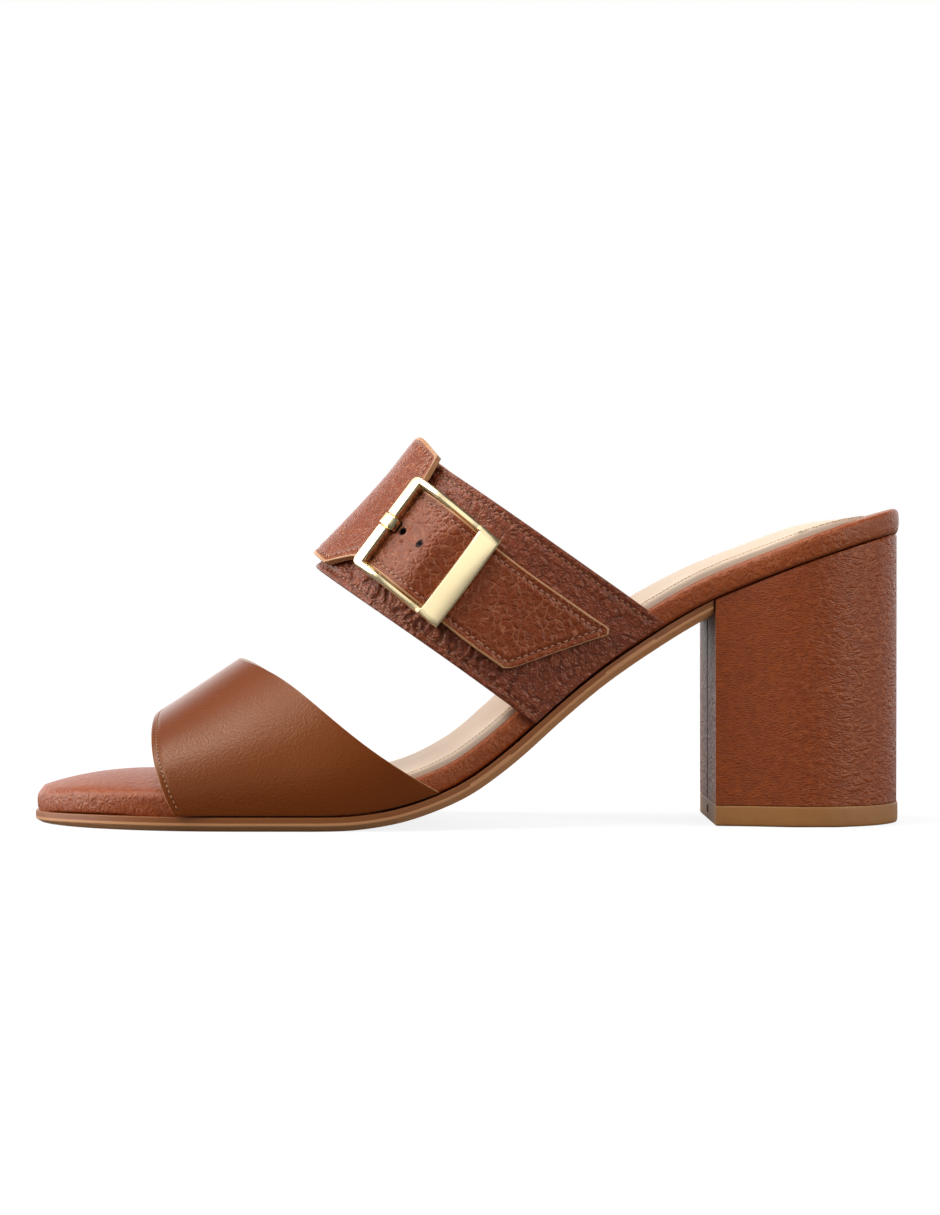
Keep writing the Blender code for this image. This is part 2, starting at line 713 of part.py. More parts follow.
def frame_sections():
    """Round the frame: at each station an outer and an inner place on the layout, as down and across,
    with the underside and the top there."""
    half = FRAME_WIDTH / 2
    post = half - SIDE_BAR
    low, high = -END_BAR / 2, KEEPER_DOWN + KEEPER / 2
    in_low, in_high = END_BAR / 2, KEEPER_DOWN - KEEPER / 2
    end_low, end_top, keeper_low, keeper_top = frame_levels()
    notch = PRONG_WIDTH / 2 + GAP
    sections = []
    crossings = [-post, -post * 0.55, -notch - GAP, -notch]
    crossings += [-across for across in reversed(crossings)]
    for across in crossings:
        top = end_top - (PRONG_NOTCH if abs(across) < notch + GAP / 2 else 0.0)
        sections.append(((low, across), (in_low, across), end_low, top))
    corner = 0.3 * FRAME_CORNER
    side = [((low + corner, half - corner), (in_low, post), end_low, end_top)]
    side += [((low + FRAME_CORNER, half), (in_low, post), end_low, end_top)]
    for k in range(7):
        down = mix(in_low + MM, in_high - MM, k / 6)
        under = mix(end_low, GAP, smoothstep(k / 3))
        top = mix(end_top, keeper_top - SIDE_DIP, smoothstep(k / 5))
        side.append(((down, half), (down, post), under, top))
    side.append(((in_high, half), (in_high, post), GAP, keeper_top))
    side.append(((high, half), (in_high, post), GAP, keeper_top))
    sections += side
    for across in (post - GAP / 2, post * 0.6, 0.0, -post * 0.6, -post + GAP / 2):
        sections.append(((high, across), (in_high, across), keeper_low, keeper_top))
    for (down_out, across_out), (down_in, across_in), under, top in reversed(side):
        sections.append(((down_out, -across_out), (down_in, -across_in), under, top))
    return sections


def make_buckle():
    chamfer = 0.35 * MM
    loops = []
    for outer, inner, low, high in frame_sections():
        inward = (Vector(inner) - Vector(outer)).normalized() * chamfer
        section = (
            (*outer, low),
            (*outer, high - chamfer),
            (*(Vector(outer) + inward), high),
            (*(Vector(inner) - inward), high),
            (*inner, high - chamfer),
            (*inner, low),
        )
        loops.append([instep_point(*place) for place in section])
    bm = bmesh.new()
    rows = [[bm.verts.new(p) for p in loop] for loop in loops]
    count = len(rows[0])
    for here, ahead in zip(rows, rows[1:] + rows[:1]):
        for i in range(count):
            j = (i + 1) % count
            bm.faces.new((here[i], here[j], ahead[j], ahead[i]))
    frame = add_object("buckle", bm, gold)
    cut(frame, make_centre_bar(), "UNION")
    return frame


def make_centre_bar():
    """The bar under the strap that the prong turns on, let into the frame's two sides."""
    reach = FRAME_WIDTH / 2 - SIDE_BAR / 2
    low = GAP + 0.05 * MM
    corners = (
        (-CENTRE_BAR_WIDTH / 2, low),
        (-CENTRE_BAR_WIDTH / 2, low + CENTRE_BAR),
        (CENTRE_BAR_WIDTH / 2, low + CENTRE_BAR),
        (CENTRE_BAR_WIDTH / 2, low),
    )
    loops = []
    for i in range(9):
        across = mix(-reach, reach, i / 8)
        loops.append([instep_point(CENTRE_DOWN + down, across, lift) for down, lift in corners])
    bm = bmesh.new()
    loft(bm, loops, (True, True))
    bar = add_object("centre_bar", bm, gold)
    bar.hide_render = True
    bar.display_type = "WIRE"
    return bar


def make_prong():
    """From the centre bar under the strap, up through its hole and into the notch of the end bar."""
    top = frame_levels()[1] - PRONG_NOTCH + GAP
    start = CENTRE_DOWN - CENTRE_BAR_WIDTH / 2 - GAP
    hole = PRONG_HOLE_DOWN
    path = (
        (start, GAP),
        (mix(start, hole, 0.6), GAP),
        (hole + PRONG * 0.2, GAP),
        (hole - PRONG / 2, GAP + PRONG * 0.7),
        (hole - PRONG / 2, UNDER_END_BAR + STRAP_WALL),
        (hole - PRONG / 2, top - PRONG * 0.2),
        (hole - PRONG * 0.8, top),
        (-END_BAR / 2 + GAP, top),
    )
    loops = []
    for i, (down, lift) in enumerate(path):
        before = path[max(i - 1, 0)]
        after = path[min(i + 1, len(path) - 1)]
        run = Vector((after[0] - before[0], after[1] - before[1])).normalized()
        rise = Vector((run.y, -run.x)) * PRONG
        loop = [
            (down, -PRONG_WIDTH / 2, lift),
            (down, PRONG_WIDTH / 2, lift),
            (down + rise.x, PRONG_WIDTH / 2, lift + rise.y),
            (down + rise.x, -PRONG_WIDTH / 2, lift + rise.y),
        ]
        loops.append([instep_point(*place) for place in loop])
    bm = bmesh.new()
    loft(bm, loops, (True, True))
    return add_object("prong", bm, gold)


def stand_over_origin():
    """Moves the whole shoe so that the middle of its footprint's box is over the origin."""
    bpy.context.view_layer.update()
    shown = [obj for obj in sandal.children if not obj.hide_render]
    points = [obj.matrix_world @ vert.co for obj in shown for vert in obj.data.vertices]
    for axis in (0, 1):
        places = [point[axis] for point in points]
        sandal.location[axis] = -(min(places) + max(places)) / 2


for old in list(bpy.data.objects):
    bpy.data.objects.remove(old)
sandal = bpy.data.objects.new("sandal", None)
bpy.context.scene.collection.objects.link(sandal)

tan_sole = piece_material("tan_sole", (0.42, 0.24, 0.11), 0.5)
brown_wrap = piece_material("brown_wrap", (0.23, 0.07, 0.03), 0.45)
cream_sock = piece_material("cream_sock", (0.78, 0.60, 0.42), 0.6)
heel_leather = piece_material("heel_leather", (0.21, 0.06, 0.025), 0.45)
top_rubber = piece_material("top_rubber", (0.26, 0.15, 0.05), 0.5)
smooth_tan = piece_material("smooth_tan", (0.22, 0.07, 0.02), 0.38)
dark_pebbled = piece_material("dark_pebbled", (0.13, 0.035, 0.018), 0.4)
pebbled_brown = piece_material("pebbled_brown", (0.19, 0.05, 0.025), 0.4)
gold = piece_material("gold", (0.83, 0.66, 0.33), 0.15, 1.0)

make_outsole()
make_footbed()
make_sock_lining()
make_heel()
make_top_piece()
make_toe_strap()
make_outer_band()
make_buckle_strap()
make_buckle()
make_prong()
stand_over_origin()
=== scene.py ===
"""A heeled mule sandal for the left foot: pebbled and smooth brown leather, gold buckle, block heel."""

import math

import bmesh
import bpy
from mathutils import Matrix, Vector
from mathutils.bvhtree import BVHTree
from mathutils.kdtree import KDTree


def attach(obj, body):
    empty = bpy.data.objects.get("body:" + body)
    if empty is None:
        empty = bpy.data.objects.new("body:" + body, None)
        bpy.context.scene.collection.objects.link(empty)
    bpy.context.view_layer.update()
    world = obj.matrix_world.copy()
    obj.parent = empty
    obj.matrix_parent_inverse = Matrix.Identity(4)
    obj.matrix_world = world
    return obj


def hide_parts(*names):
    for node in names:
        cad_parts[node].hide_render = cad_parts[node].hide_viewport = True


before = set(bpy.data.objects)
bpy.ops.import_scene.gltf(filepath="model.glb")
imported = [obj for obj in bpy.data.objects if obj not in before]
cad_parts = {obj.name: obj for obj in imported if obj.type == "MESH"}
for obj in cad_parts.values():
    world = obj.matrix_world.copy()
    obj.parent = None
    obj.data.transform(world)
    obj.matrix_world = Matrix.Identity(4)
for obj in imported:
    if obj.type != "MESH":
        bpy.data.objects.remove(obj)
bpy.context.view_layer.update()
mm = 0.001

# The studio: the shoe stands on a plain white floor, with a bright white wall behind it and white panels
# over the toe, at both ends, and small in front. Soft lights stand before the toe and the heel, well to the
# sides, so that the leather that faces the camera stays free of shine, and a third hangs over the toe.


def linear(hex_colour):
    """The linear colour of an sRGB hex value."""
    shares = [int(hex_colour[i : i + 2], 16) / 255 for i in (1, 3, 5)]
    return tuple(s / 12.92 if s <= 0.04045 else ((s + 0.055) / 1.055) ** 2.4 for s in shares) + (1.0,)


def add_node(tree, kind, inputs=(), **settings):
    """A node with its settings. inputs pairs each socket's name or number with a value or a socket."""
    node = tree.nodes.new(kind)
    for name, value in settings.items():
        setattr(node, name, value)
    for socket, value in inputs:
        if isinstance(value, bpy.types.NodeSocket):
            tree.links.new(value, node.inputs[socket])
        else:
            node.inputs[socket].default_value = value
    return node


def new_material(name):
    """A material with its node tree and its main shader."""
    material = bpy.data.materials.new(name)
    material.use_nodes = True
    return material, material.node_tree, material.node_tree.nodes["Principled BSDF"]


# Matt emulsion, rolled on: an even white without any shine, with the shoe's soft shadow in it
floor_paint, tree, shader = new_material("white_floor_paint")
shader.inputs["Base Color"].default_value = (0.13, 0.13, 0.13, 1.0)
shader.inputs["Roughness"].default_value = 0.8
shader.inputs["Specular IOR Level"].default_value = 0.1
seen = add_node(tree, "ShaderNodeLightPath")
lifted = add_node(tree, "ShaderNodeMath", [(0, seen.outputs[0]), (1, 0.85)], operation="MULTIPLY")
shader.inputs["Emission Color"].default_value = (1.0, 1.0, 1.0, 1.0)
tree.links.new(lifted.outputs[0], shader.inputs["Emission Strength"])

bpy.ops.object.select_all(action="DESELECT")
bpy.ops.mesh.primitive_plane_add(size=12.0, location=(0.0, 0.0, 0.0))
floor = bpy.context.object
floor.name = "floor"
floor.data.materials.append(floor_paint)

world = bpy.data.worlds.new("soft_room")
bpy.context.scene.world = world
world.use_nodes = True
tree = world.node_tree
room = tree.nodes["Background"]
direction = add_node(tree, "ShaderNodeTexCoord")
part = add_node(tree, "ShaderNodeSeparateXYZ", [(0, direction.outputs["Generated"])])
back = add_node(
    tree, "ShaderNodeMapRange", [(0, part.outputs["Y"]), (1, 0.50), (2, 0.95), (3, 0.0), (4, 2.1)],
    interpolation_type="SMOOTHSTEP",
)
low = add_node(
    tree, "ShaderNodeMapRange", [(0, part.outputs["Z"]), (1, 0.25), (2, 0.52), (3, 1.0), (4, 0.12)],
    interpolation_type="SMOOTHSTEP",
)
bright = add_node(
    tree, "ShaderNodeMath", [(0, back.outputs[0]), (1, low.outputs[0]), (2, 0.1)], operation="MULTIPLY_ADD"
)
# Each panel: the way to it, the cosines of its outer and inner edge, and its brightness. In turn they are
# the one over the toe, the small one in front, the one above the buckle, and those at the toe and the heel.
PANELS = (
    ((-0.50, -0.10, 0.86), 0.76, 0.95, 1.25), ((-0.25, -0.85, 0.45), 0.955, 0.98, 1.25),
    ((-0.78, -0.20, 0.60), 0.93, 0.98, 3.2),
    ((-1.0, 0.1, 0.05), 0.80, 0.97, 5.5), ((1.0, 0.1, 0.05), 0.80, 0.97, 1.2),
)
for way, reach, full, strength in PANELS:
    towards = add_node(
        tree, "ShaderNodeVectorMath",
        [(0, direction.outputs["Generated"]), (1, Vector(way).normalized())], operation="DOT_PRODUCT",
    )
    panel = add_node(
        tree, "ShaderNodeMapRange",
        [(0, towards.outputs["Value"]), (1, reach), (2, full), (3, 0.0), (4, strength)],
        interpolation_type="SMOOTHSTEP",
    )
    bright = add_node(
        tree, "ShaderNodeMath", [(0, bright.outputs[0]), (1, panel.outputs[0])], operation="ADD"
    )
seen = add_node(tree, "ShaderNodeLightPath")
level = add_node(
    tree, "ShaderNodeMix",
    [(0, seen.outputs["Is Camera Ray"]), (2, bright.outputs[0]), (3, 1.0)], data_type="FLOAT",
)
room.inputs["Color"].default_value = linear("#ffffff")
tree.links.new(level.outputs[0], room.inputs["Strength"])

SOFT_LIGHTS = (
    ("light_before_toe", (-1.00, -0.60, 1.10), 0.7, 5.6),
    ("light_before_heel", (1.00, -0.75, 0.60), 0.7, 9.0),
    ("light_overhead", (-0.28, 0.04, 1.25), 0.55, 7.4),
)
for name, place, size, power in SOFT_LIGHTS:
    bpy.ops.object.light_add(type="AREA", location=place)
    light = bpy.context.object
    light.name = name
    light.data.size = size
    light.data.energy = power
    light.rotation_euler = (Vector((0, 0, 0.05)) - Vector(place)).to_track_quat("-Z", "Y").to_euler()

bpy.ops.object.camera_add(location=(0.001, -0.760, 0.057), rotation=(math.radians(90), 0, 0))
camera = bpy.context.object
camera.data.sensor_fit = "VERTICAL"
camera.data.sensor_height = 36.0
camera.data.lens = 83.87
bpy.context.scene.camera = camera
bpy.context.scene.view_settings.view_transform = "Standard"

# The outsole: thin, cut from one sheet. Its edge is trimmed square above and bevelled below, and painted
# in two colours: tan on the upright band, pale khaki on the bevel. It stands a little outside the footbed.


def only(piece):
    """Selects the piece alone and makes it active."""
    bpy.ops.object.select_all(action="DESELECT")
    piece.select_set(True)
    bpy.context.view_layer.objects.active = piece


def welded_copy(node, name):
    """A copy of a node's solid as one welded mesh of quads, without material."""
    piece = bpy.data.objects.new(name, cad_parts[node].data.copy())
    bpy.context.scene.collection.objects.link(piece)
    only(piece)
    bpy.ops.mesh.customdata_custom_splitnormals_clear()
    bpy.ops.object.mode_set(mode="EDIT")
    bpy.ops.mesh.select_all(action="SELECT")
    bpy.ops.mesh.remove_doubles(threshold=0.00001)
    bpy.ops.mesh.tris_convert_to_quads(
        face_threshold=math.radians(40), shape_threshold=math.radians(70)
    )
    bpy.ops.object.mode_set(mode="OBJECT")
    piece.data.materials.clear()
    return piece


def move_up(piece, amount, chosen):
    """Moves the vertices that chosen picks, so that a glued face meets its neighbour."""
    for vert in piece.data.vertices:
        if chosen(vert):
            vert.co.z += amount
    piece.data.update()


def round_off(piece, edge, levels, corner=35, rim=-1, segments=2):
    """Rounds the sharp edges by edge, in the material numbered rim or else as their faces are, then
    subdivides the whole piece smooth."""
    only(piece)
    bevel = piece.modifiers.new("edges", "BEVEL")
    bevel.width = edge
    bevel.segments = segments
    bevel.limit_method = "ANGLE"
    bevel.angle_limit = math.radians(corner)
    bevel.material = rim
    bpy.ops.object.modifier_apply(modifier=bevel.name)
    smooth = piece.modifiers.new("smooth", "SUBSURF")
    smooth.levels = levels
    smooth.render_levels = levels
    bpy.ops.object.modifier_apply(modifier=smooth.name)
    bpy.ops.object.shade_smooth()


def finish_piece(piece, node):
    """Fixes the piece to the shoe in place of its plain node, which it hides."""
    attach(piece, "root")
    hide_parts(node)


def painted_edge(name, colour, worn):
    """A trimmed leather edge, painted with a brush, or a buffed sole: satin, with faint streaks about
    17 mm long."""
    material, tree, shader = new_material(name)
    place = add_node(tree, "ShaderNodeTexCoord")
    along = add_node(tree, "ShaderNodeMapping", [(0, place.outputs["Object"]), (3, (60.0, 60.0, 900.0))])
    streaks = add_node(tree, "ShaderNodeTexNoise", [(0, along.outputs[0]), ("Scale", 1.0), ("Detail", 3.0)])
    colours = add_node(
        tree, "ShaderNodeMix",
        [(0, streaks.outputs[0]), (6, linear(colour)), (7, linear(worn))], data_type="RGBA",
    )
    relief = add_node(
        tree, "ShaderNodeBump",
        [("Height", streaks.outputs[0]), ("Strength", 0.15), ("Distance", 0.1 * mm)],
    )
    tree.links.new(colours.outputs[2], shader.inputs["Base Color"])
    tree.links.new(relief.outputs[0], shader.inputs["Normal"])
    shader.inputs["Roughness"].default_value = 0.42
    shader.inputs["IOR"].default_value = 1.5
    return material


tan_band = painted_edge("tan_edge_paint", "#8f5424", "#7c431a")
khaki_band = painted_edge("khaki_edge_paint", "#c48c5e", "#b0784c")
tread_leather = painted_edge("buffed_sole_leather", "#a08060", "#8c6c4a")

TAN_HEIGHT = 1.4 * mm
outsole = welded_copy("outsole", "outsole_trimmed")
for material in (tread_leather, khaki_band, tan_band):
    outsole.data.materials.append(material)
move_up(outsole, 0.35 * mm, lambda vert: vert.normal.z > 0.3)
round_off(outsole, 0.15 * mm, 2, 30)
upper = [face for face in outsole.data.polygons if face.normal.z > 0.7]
rims = KDTree(len(upper))
for i, face in enumerate(upper):
    rims.insert(face.center, i)
rims.balance()
for face in outsole.data.polygons:
    if face.normal.z < -0.9:
        face.material_index = 0
    else:
        face.material_index = 2 if face.normal.z > 0.5 or rims.find(face.center)[2] < TAN_HEIGHT else 1
finish_piece(outsole, "outsole")

# The footbed: a board with foam, wrapped in pebbled brown leather that is drawn over its edge and glued
# under it. Drawing it over the board has stretched its grain flatter than on the straps.


def pebbled_leather(
    name, browns, crack, cell, relief, contrast, stretch=(1, 1, 1), gloss=0.42, grows=None
):
    """Drum-dyed cowhide with a shrunken grain, waxed: domed pebbles of the size cell, each covered by
    beads of about 0.9 mm, which break its soft shine up. The ground is mottled between the two browns, and
    is also painted darker down into the folds and lighter on the pebbles' domes, as painted shade. The thin
    folds between the pebbles come and go, in the colour crack with the given contrast: a pale crack
    colour is partly wear and partly a painted highlight caught on the folds' edges, a dark one is painted
    shade in them. stretch draws the pebbles out, and grows gives two places along the shoe between which
    they come up."""
    material, tree, shader = new_material(name)
    place = add_node(tree, "ShaderNodeTexCoord")
    laid = add_node(tree, "ShaderNodeMapping", [(0, place.outputs["Object"]), (3, stretch)])
    wander = add_node(
        tree, "ShaderNodeTexNoise", [(0, laid.outputs[0]), ("Scale", 0.9 / cell), ("Detail", 2.0)]
    )
    centred = add_node(
        tree, "ShaderNodeVectorMath", [(0, wander.outputs["Color"]), (1, (0.5, 0.5, 0.5))],
        operation="SUBTRACT",
    )
    bent = add_node(
        tree, "ShaderNodeVectorMath",
        [(0, centred.outputs[0]), (1, (0.45 * cell,) * 3), (2, laid.outputs[0])], operation="MULTIPLY_ADD",
    )
    pebbles = add_node(
        tree, "ShaderNodeTexVoronoi", [(0, bent.outputs[0]), ("Scale", 1 / cell)],
        feature="DISTANCE_TO_EDGE",
    )
    fold = add_node(
        tree, "ShaderNodeMapRange", [(0, pebbles.outputs[0]), (1, 0.0), (2, 0.07), (3, 1.0), (4, 0.0)],
        interpolation_type="SMOOTHSTEP",
    )
    shown = add_node(
        tree, "ShaderNodeTexNoise", [(0, place.outputs["Object"]), ("Scale", 1.1 / cell), ("Detail", 3.0)]
    )
    clear = add_node(
        tree, "ShaderNodeMapRange", [(0, shown.outputs[0]), (1, 0.40), (2, 0.62), (3, 0.05), (4, 1.0)]
    )
    if grows:
        spot = add_node(tree, "ShaderNodeSeparateXYZ", [(0, place.outputs["Object"])])
        ends = [(0, spot.outputs["X"]), (1, grows[0]), (2, grows[1]), (3, 0.12), (4, 1.0)]
        rise = add_node(tree, "ShaderNodeMapRange", ends)
        clear = add_node(
            tree, "ShaderNodeMath", [(0, clear.outputs[0]), (1, rise.outputs[0])], operation="MULTIPLY"
        )
    folds = add_node(
        tree, "ShaderNodeMath", [(0, fold.outputs[0]), (1, clear.outputs[0])], operation="MULTIPLY"
    )
    grains = add_node(
        tree, "ShaderNodeTexVoronoi", [(0, bent.outputs[0]), ("Scale", 1 / (0.9 * mm))],
        feature="DISTANCE_TO_EDGE",
    )
    net = add_node(
        tree, "ShaderNodeMapRange", [(0, grains.outputs[0]), (1, 0.0), (2, 0.18), (3, 1.0), (4, 0.0)]
    )
    cloud = add_node(
        tree, "ShaderNodeTexNoise", [(0, place.outputs["Object"]), ("Scale", 600.0), ("Detail", 6.0)]
    )
    mottle = add_node(
        tree, "ShaderNodeMapRange", [(0, cloud.outputs[0]), (1, 0.32), (2, 0.68), (3, 0.0), (4, 1.0)]
    )
    # High on each pebble's dome and nil in the folds: it raises the domes, and in the ground colour it paints
    # the folds darker and the domes lighter, a painted shade.
    dome_height_and_shade = add_node(
        tree, "ShaderNodeMapRange", [(0, pebbles.outputs[0]), (1, 0.0), (2, 0.32), (3, 0.0), (4, 1.0)],
        interpolation_type="SMOOTHSTEP",
    )
    shade = add_node(
        tree, "ShaderNodeMix", [(0, 0.3), (2, mottle.outputs[0]), (3, dome_height_and_shade.outputs[0])], data_type="FLOAT"
    )
    ground = add_node(
        tree, "ShaderNodeMix",
        [(0, shade.outputs[0]), (6, linear(browns[0])), (7, linear(browns[1]))], data_type="RGBA",
    )
    # How strongly the folds and the grain's fine net show in the crack colour: a pale one is partly wear and
    # partly a painted highlight, a dark one is painted shade.
    worn = add_node(
        tree, "ShaderNodeMath", [(0, net.outputs[0]), (1, 0.12), (2, folds.outputs[0])],
        operation="MULTIPLY_ADD",
    )
    amount = add_node(
        tree, "ShaderNodeMath", [(0, worn.outputs[0]), (1, contrast)], operation="MULTIPLY", use_clamp=True
    )
    coloured = add_node(
        tree, "ShaderNodeMix",
        [(0, amount.outputs[0]), (6, ground.outputs[2]), (7, linear(crack))], data_type="RGBA",
    )
    domes = add_node(
        tree, "ShaderNodeMath", [(0, dome_height_and_shade.outputs[0]), (1, clear.outputs[0])], operation="MULTIPLY"
    )
    beads = add_node(
        tree, "ShaderNodeMapRange", [(0, grains.outputs[0]), (1, 0.0), (2, 0.40), (3, 0.0), (4, 0.3)],
        interpolation_type="SMOOTHSTEP",
    )
    grained = add_node(
        tree, "ShaderNodeMath", [(0, cloud.outputs[0]), (1, 0.3), (2, beads.outputs[0])],
        operation="MULTIPLY_ADD",
    )
    surface = add_node(
        tree, "ShaderNodeMath", [(0, domes.outputs[0]), (1, grained.outputs[0])], operation="ADD"
    )
    bump = add_node(
        tree, "ShaderNodeBump",
        [("Height", surface.outputs[0]), ("Strength", relief), ("Distance", 0.6 * mm)],
    )
    rough = add_node(
        tree, "ShaderNodeMapRange", [(0, worn.outputs[0]), (1, 0.0), (2, 1.0), (3, gloss), (4, gloss + 0.2)]
    )
    tree.links.new(coloured.outputs[2], shader.inputs["Base Color"])
    tree.links.new(rough.outputs[0], shader.inputs["Roughness"])
    tree.links.new(bump.outputs[0], shader.inputs["Normal"])
    shader.inputs["IOR"].default_value = 1.45
    shader.inputs["Specular Tint"].default_value = linear("#fff0e0")
    return material


wrap = pebbled_leather("pebbled_wrap_leather", ("#7a320e", "#904418"), "#cf8a62", 2.2 * mm, 0.28, 0.22)
footbed = welded_copy("footbed", "footbed_wrapped")
footbed.data.materials.append(wrap)
move_up(footbed, -0.4 * mm, lambda vert: vert.normal.z < -0.3)

# The top slopes down to the toe: where the slope starts, how long and how deep it is, and from which
# height and over what length the side comes to follow it
SLOPE_START = -96 * mm
SLOPE_LENGTH = 20 * mm
SLOPE_DEPTH = 1.5 * mm
SIDE_START = 5 * mm
SIDE_LENGTH = 5 * mm
for vert in footbed.data.vertices:
    to_toe = min(1.0, max(0.0, (SLOPE_START - vert.co.x) / SLOPE_LENGTH))
    upwards = min(1.0, max(0.0, (vert.co.z - SIDE_START) / SIDE_LENGTH))
    vert.co.z -= SLOPE_DEPTH * to_toe**1.5 * upwards
round_off(footbed, 0.3 * mm, 3, 60)
finish_piece(footbed, "footbed")

# The sock lining: cream lining leather over thin foam, glued on the footbed. A row of stitches runs round
# it three millimetres in, and the foam swells on both sides of the row.


def shape_by(piece, height_at):
    """Moves every vertex along its normal by height_at(place)."""
    mesh = piece.data
    moved = [vert.co + vert.normal * height_at(vert.co) for vert in mesh.vertices]
    for vert, place in zip(mesh.vertices, moved):
        vert.co = place
    mesh.update()


def region_edges(piece, corner=40):
    """The faces of a mesh in regions parted by its sharp edges, largest first, as lists of numbers, and
    the rim of the largest: its vertices' places in order, each with the face normal and the way in."""
    bm = bmesh.new()
    bm.from_mesh(piece.data)
    bm.normal_update()
    limit = math.radians(corner)
    left = set(bm.faces)
    regions = []
    for first in bm.faces:
        if first not in left:
            continue
        left.remove(first)
        region = [first]
        border = [first]
        while border:
            face = border.pop()
            for edge in face.edges:
                if len(edge.link_faces) != 2 or edge.calc_face_angle(0.0) > limit:
                    continue
                for other in edge.link_faces:
                    if other in left:
                        left.remove(other)
                        region.append(other)
                        border.append(other)
        regions.append(region)
    regions.sort(key=lambda faces: -sum(face.calc_area() for face in faces))
    top = set(regions[0])
    rim = [edge for edge in bm.edges if sum(face in top for face in edge.link_faces) == 1]
    loops = []
    waiting = set(rim)
    for edge in rim:
        if edge not in waiting:
            continue
        waiting.remove(edge)
        loop = [edge.verts[0], edge.verts[1]]
        while True:
            step = next((e for e in loop[-1].link_edges if e in waiting), None)
            if step is None:
                break
            waiting.remove(step)
            loop.append(step.other_vert(loop[-1]))
        if loop[0] is loop[-1]:
            loop.pop()
        loops.append(loop)
    loops.sort(key=len)
    rim_points = []
    for vert in loops[-1]:
        faces = [face for face in vert.link_faces if face in top]
        up = sum((face.normal for face in faces), Vector()).normalized()
        inner = sum((face.calc_center_median() for face in faces), Vector()) / len(faces)
        rim_points.append((vert.co.copy(), up, inner - vert.co))
    numbers = [sorted(face.index for face in region) for region in regions]
    bm.free()
    return numbers, rim_points


def seam_inside(rim, inset):
    """The rim's loop moved inwards over the surface by inset, with its normals."""
    count = len(rim)
    seam = []
    for i, (place, up, inner) in enumerate(rim):
        before = (place - rim[i - 1][0]).normalized()
        after = (rim[(i + 1) % count][0] - place).normalized()
        ways = []
        for run in (before, after):
            way = up.cross(run).normalized()
            ways.append(-way if way.dot(inner) < 0 else way)
        middle = (ways[0] + ways[1]).normalized()
        reach = inset / max(middle.dot(ways[0]), 0.45)
        seam.append((place + middle * reach, up))
    return seam


def evenly(path, pitch, skip=0.0):
    """Places along a path of (place, normal), pitch apart, each with its normal and direction."""
    spots = []
    travelled = -skip
    for (a, up_a), (b, up_b) in zip(path, path[1:]):
        span = (b - a).length
        while travelled <= span:
            if travelled >= 0 and span > 0:
                t = travelled / span
                spots.append((a.lerp(b, t), up_a.lerp(up_b, t).normalized(), (b - a).normalized()))
            travelled += pitch
        travelled -= span
    return spots


def sew(name, path, pitch, thread, hole, surface, thick=0.42 * mm, share=0.62):
    """A row of stitches: one rounded length of thread, copied along the path onto the surface, with a small
    flat dark disc in the material hole at its end, a painted shadow of the needle hole."""
    bpy.ops.object.select_all(action="DESELECT")
    bpy.ops.mesh.primitive_uv_sphere_add(segments=8, ring_count=6, radius=0.5)
    stitch = bpy.context.object
    rounds = [vert.co.copy() for vert in stitch.data.vertices]
    faces = [list(face.vertices) for face in stitch.data.polygons]
    bpy.data.objects.remove(stitch)
    verts = []
    polygons = []
    kinds = []
    for place, up, run in evenly(path, pitch):
        near, normal, _, _ = surface.find_nearest(place)
        if normal.dot(up) < 0:
            normal = up
        aside = normal.cross(run).normalized()
        run = aside.cross(normal)
        # Each stitch is the thread and, half a pitch on, a flat dark disc: the needle hole's painted shadow.
        for shift, size, kind in (
            (0.0, (pitch * share, thick, thick * 0.8), 0),
            (0.5 * pitch, (pitch * 0.28, thick * 0.9, thick * 0.3), 1),
        ):
            start = len(verts)
            middle = near + run * shift
            if kind:
                middle, normal_here, _, _ = surface.find_nearest(middle)
                middle = middle + normal_here * 0.02 * mm
            for spot in rounds:
                verts.append(
                    middle + run * spot.x * size[0] + aside * spot.y * size[1] + normal * spot.z * size[2]
                )
            polygons += [[start + i for i in face] for face in faces]
            kinds += [kind] * len(faces)
    mesh = bpy.data.meshes.new(name)
    mesh.from_pydata(verts, [], polygons)
    mesh.materials.append(thread)
    mesh.materials.append(hole)
    mesh.polygons.foreach_set("material_index", kinds)
    mesh.shade_smooth()
    piece = bpy.data.objects.new(name, mesh)
    bpy.context.scene.collection.objects.link(piece)
    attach(piece, "root")
    return piece


def surface_of(piece):
    """The piece's surface, to be asked for its nearest point or hit by a ray."""
    mesh = piece.data
    return BVHTree.FromPolygons([v.co for v in mesh.vertices], [f.vertices for f in mesh.polygons])


def groove(piece, paths, width, depth, swell=0.0):
    """Sinks a channel along each path, and raises the leather a little on both sides of it."""
    spots = [spot for path in paths for spot in evenly(path, 0.3 * mm)]
    tree = KDTree(len(spots))
    for i, spot in enumerate(spots):
        tree.insert(spot[0], i)
    tree.balance()

    def depth_at(place):
        away = tree.find(place)[2]
        if away > 5 * width:
            return 0.0
        beside = (away - 2.2 * width) / width
        return swell * math.exp(-(beside**2)) - depth * math.exp(-((away / width) ** 2))

    shape_by(piece, depth_at)


